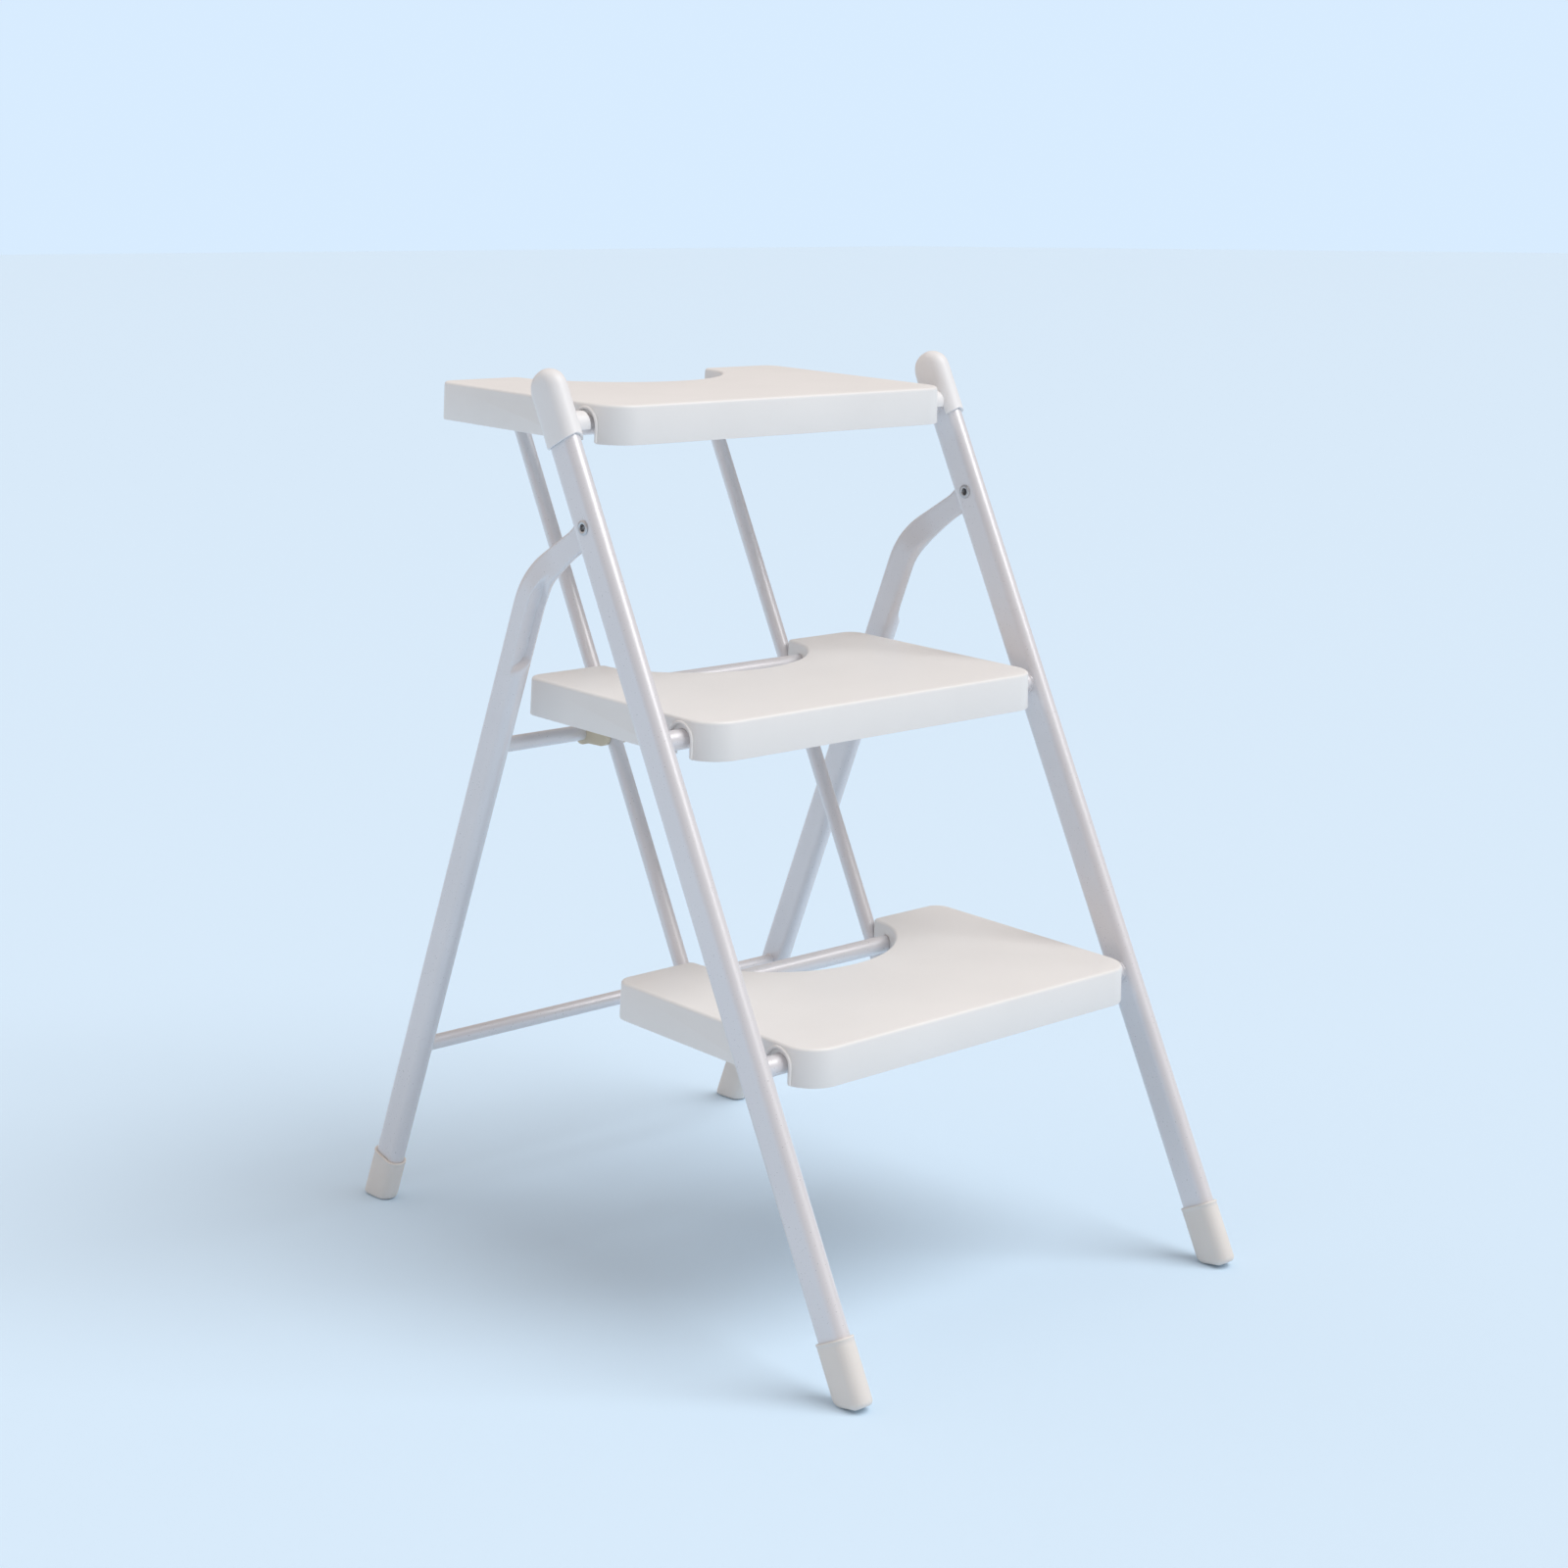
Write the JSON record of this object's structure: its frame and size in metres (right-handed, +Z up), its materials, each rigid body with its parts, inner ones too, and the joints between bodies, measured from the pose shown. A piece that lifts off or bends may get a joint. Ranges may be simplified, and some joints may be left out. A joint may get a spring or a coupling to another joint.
{
  "type": "folding step stool",
  "caption": "Folding step stool with flat-oval tube frames, moulded treads with rear cut-outs, and a rod linkage that folds the treads together.",
  "frame": {"origin": "centre of the footprint, on the floor", "axes": "+Z up, the climbing side faces -Y, +X to the right seen from the front"},
  "size_m": [0.4396, 0.6492, 0.7414],
  "materials": {
    "painted_tube": "satin pearl white paint",
    "tread_plastic": "satin",
    "cap_plastic": "satin",
    "foot_plastic": "matt",
    "ivory_plastic": "matt",
    "zinc_steel": "zinc plated"
  },
  "bodies": {
    "front_frame": {"front_stile_left": "painted_tube", "front_stile_right": "painted_tube", "pivot_tube_top": "painted_tube", "pivot_tube_middle": "painted_tube", "pivot_tube_lower": "painted_tube", "stile_cap_left": "cap_plastic", "stile_cap_right": "cap_plastic", "front_foot_left": "foot_plastic", "front_foot_right": "foot_plastic", "frame_rivet_left": "zinc_steel", "frame_rivet_right": "zinc_steel", "rivet_washer_left": "cap_plastic", "rivet_washer_right": "cap_plastic"},
    "rear_frame": {"rear_leg_left": "painted_tube", "rear_leg_right": "painted_tube", "rear_crossbar_middle": "painted_tube", "rear_crossbar_lower": "painted_tube", "rear_foot_left": "foot_plastic", "rear_foot_right": "foot_plastic", "slide_guide_left": "ivory_plastic", "slide_guide_right": "ivory_plastic"},
    "tread_lower_body": {"tread_lower": "tread_plastic", "tread_saddles_lower": "ivory_plastic", "tread_screws_lower": "zinc_steel"},
    "tread_middle_body": {"tread_middle": "tread_plastic", "tread_saddles_middle": "ivory_plastic", "tread_screws_middle": "zinc_steel"},
    "tread_top_body": {"tread_top": "tread_plastic", "tread_saddles_top": "ivory_plastic", "tread_screws_top": "zinc_steel"},
    "link_frame": {"link_rod_left": "painted_tube", "link_rod_right": "painted_tube", "link_tube_top": "painted_tube", "link_tube_middle": "painted_tube", "link_tube_lower": "painted_tube", "link_lugs": "painted_tube", "link_rod_plugs": "ivory_plastic", "link_tube_plugs": "ivory_plastic"}
  },
  "joints": [
    {"name": "rear_fold", "type": "hinge", "parent": "front_frame", "child": "rear_frame", "pos_m": [0, -0.01, 0.623], "axis": [-1, 0, 0], "range_deg": [0, 46]},
    {"name": "tread_lower_fold", "type": "hinge", "parent": "front_frame", "child": "tread_lower_body", "pos_m": [0, -0.19542, 0.2325], "axis": [1, 0, 0], "range_deg": [0, 60]},
    {"name": "tread_middle_fold", "type": "hinge", "parent": "front_frame", "child": "tread_middle_body", "pos_m": [0, -0.08493, 0.4652], "axis": [1, 0, 0], "range_deg": [0, 60]},
    {"name": "tread_top_fold", "type": "hinge", "parent": "front_frame", "child": "tread_top_body", "pos_m": [0, 0.02556, 0.6979], "axis": [1, 0, 0], "range_deg": [0, 60]},
    {"name": "link_swing", "type": "hinge", "parent": "tread_middle_body", "child": "link_frame", "pos_m": [0, 0.0899, 0.47283], "axis": [1, 0, 0], "range_deg": [-60, 0]}
  ],
  "couplings": [
    {"joint": "tread_lower_fold", "follows": "rear_fold", "ratio": 1.3},
    {"joint": "tread_middle_fold", "follows": "rear_fold", "ratio": 1.3},
    {"joint": "tread_top_fold", "follows": "rear_fold", "ratio": 1.3},
    {"joint": "link_swing", "follows": "rear_fold", "ratio": -1.3}
  ]
}
